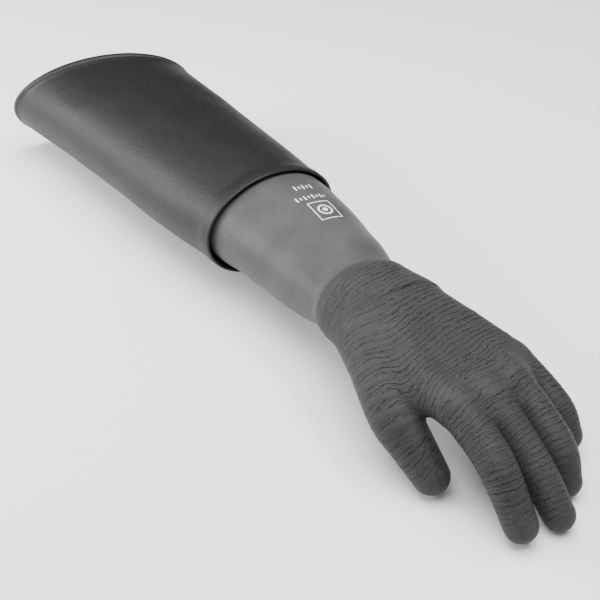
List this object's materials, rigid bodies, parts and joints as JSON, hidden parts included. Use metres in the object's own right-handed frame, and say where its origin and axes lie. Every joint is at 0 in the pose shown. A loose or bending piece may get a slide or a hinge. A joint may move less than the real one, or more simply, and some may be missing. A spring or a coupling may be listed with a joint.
{
  "type": "long-cuffed insulated rubber glove",
  "caption": "Long insulated rubber glove for the left hand, with a crinkled hand and bending digits, a smooth forearm gauntlet and a wide coated-fabric sleeve.",
  "frame": {"origin": "middle of the glove's footprint, on the surface that it lies on", "axes": "+X from the sleeve's mouth to the fingertips, +Z out of the back of the hand, the thumb towards -Y"},
  "size_m": [0.6503, 0.1568, 0.0963],
  "materials": {
    "coated_fabric": "black coated cloth with a fine leather-like grain and a satin sheen",
    "sleeve_lining_cloth": "dark brushed woven backing cloth",
    "black_thread": "matt sewing thread",
    "smooth_rubber": "smooth matt dipped rubber, faintly mottled",
    "crinkled_rubber": "matt dipped rubber with a fine crinkled grip texture",
    "knitted_lining": "off-white brushed knitted lining"
  },
  "bodies": {
    "sleeve_and_gauntlet": {"sleeve_shell": "coated_fabric", "sleeve_lining": "sleeve_lining_cloth", "sleeve_mouth_hem": "coated_fabric", "sleeve_hem_thread": "black_thread", "sleeve_lower_hem": "coated_fabric", "sleeve_side_seam": "coated_fabric", "sleeve_joining_band": "coated_fabric", "gauntlet_shell": "smooth_rubber", "gauntlet_lining": "knitted_lining", "gauntlet_bead": "smooth_rubber"},
    "hand": {"hand_shell": "crinkled_rubber", "hand_lining": "knitted_lining"},
    "thumb_base": {"thumb_base_shell": "crinkled_rubber", "thumb_base_lining": "knitted_lining"},
    "thumb_tip": {"thumb_tip_shell": "crinkled_rubber", "thumb_tip_lining": "knitted_lining"},
    "index_base": {"index_base_shell": "crinkled_rubber", "index_base_lining": "knitted_lining"},
    "index_tip": {"index_tip_shell": "crinkled_rubber", "index_tip_lining": "knitted_lining"},
    "middle_base": {"middle_base_shell": "crinkled_rubber", "middle_base_lining": "knitted_lining"},
    "middle_tip": {"middle_tip_shell": "crinkled_rubber", "middle_tip_lining": "knitted_lining"},
    "ring_base": {"ring_base_shell": "crinkled_rubber", "ring_base_lining": "knitted_lining"},
    "ring_tip": {"ring_tip_shell": "crinkled_rubber", "ring_tip_lining": "knitted_lining"},
    "little_base": {"little_base_shell": "crinkled_rubber", "little_base_lining": "knitted_lining"},
    "little_tip": {"little_tip_shell": "crinkled_rubber", "little_tip_lining": "knitted_lining"}
  },
  "joints": [
    {"name": "wrist_flex", "type": "hinge", "parent": "sleeve_and_gauntlet", "child": "hand", "pos_m": [0.1467, -0.008, 0.0573], "axis": [-0.1193, 0.9864, -0.113], "range_deg": [-35, 40], "stiffness_Nm_per_rad": 9},
    {"name": "thumb_base_flex", "type": "hinge", "parent": "hand", "child": "thumb_base", "pos_m": [0.21005, -0.05671, 0.03956], "axis": [0.3656, 0.7227, 0.5865], "range_deg": [-15, 25], "stiffness_Nm_per_rad": 2.5},
    {"name": "thumb_tip_flex", "type": "hinge", "parent": "thumb_base", "child": "thumb_tip", "pos_m": [0.22539, -0.05589, 0.02899], "axis": [0.3656, 0.7227, 0.5865], "range_deg": [-10, 40], "stiffness_Nm_per_rad": 1.5},
    {"name": "index_base_flex", "type": "hinge", "parent": "hand", "child": "index_base", "pos_m": [0.24524, -0.03457, 0.0576], "axis": [-0.0359, 0.9924, -0.1177], "range_deg": [-30, 20], "stiffness_Nm_per_rad": 2},
    {"name": "index_tip_flex", "type": "hinge", "parent": "index_base", "child": "index_tip", "pos_m": [0.2806, -0.03518, 0.04164], "axis": [-0.0359, 0.9924, -0.1177], "range_deg": [-15, 35], "stiffness_Nm_per_rad": 1.2},
    {"name": "middle_base_flex", "type": "hinge", "parent": "hand", "child": "middle_base", "pos_m": [0.24608, -0.00906, 0.05459], "axis": [-0.0586, 0.9915, -0.1165], "range_deg": [-29, 45], "stiffness_Nm_per_rad": 2.2},
    {"name": "middle_tip_flex", "type": "hinge", "parent": "middle_base", "child": "middle_tip", "pos_m": [0.28932, -0.00931, 0.03071], "axis": [-0.0586, 0.9915, -0.1165], "range_deg": [-15, 55], "stiffness_Nm_per_rad": 1.3},
    {"name": "ring_base_flex", "type": "hinge", "parent": "hand", "child": "ring_base", "pos_m": [0.23927, 0.01605, 0.0527], "axis": [-0.0499, 0.9919, -0.117], "range_deg": [-31, 45], "stiffness_Nm_per_rad": 2},
    {"name": "ring_tip_flex", "type": "hinge", "parent": "ring_base", "child": "ring_tip", "pos_m": [0.28263, 0.0157, 0.03121], "axis": [-0.0499, 0.9919, -0.117], "range_deg": [-26, 45], "stiffness_Nm_per_rad": 1.2},
    {"name": "little_base_flex", "type": "hinge", "parent": "hand", "child": "little_base", "pos_m": [0.22335, 0.03814, 0.04637], "axis": [-0.1711, 0.9791, -0.1096], "range_deg": [-16, 50], "stiffness_Nm_per_rad": 1.5},
    {"name": "little_tip_flex", "type": "hinge", "parent": "little_base", "child": "little_tip", "pos_m": [0.25695, 0.04223, 0.03044], "axis": [-0.1711, 0.9791, -0.1096], "range_deg": [-31, 40], "stiffness_Nm_per_rad": 1}
  ]
}
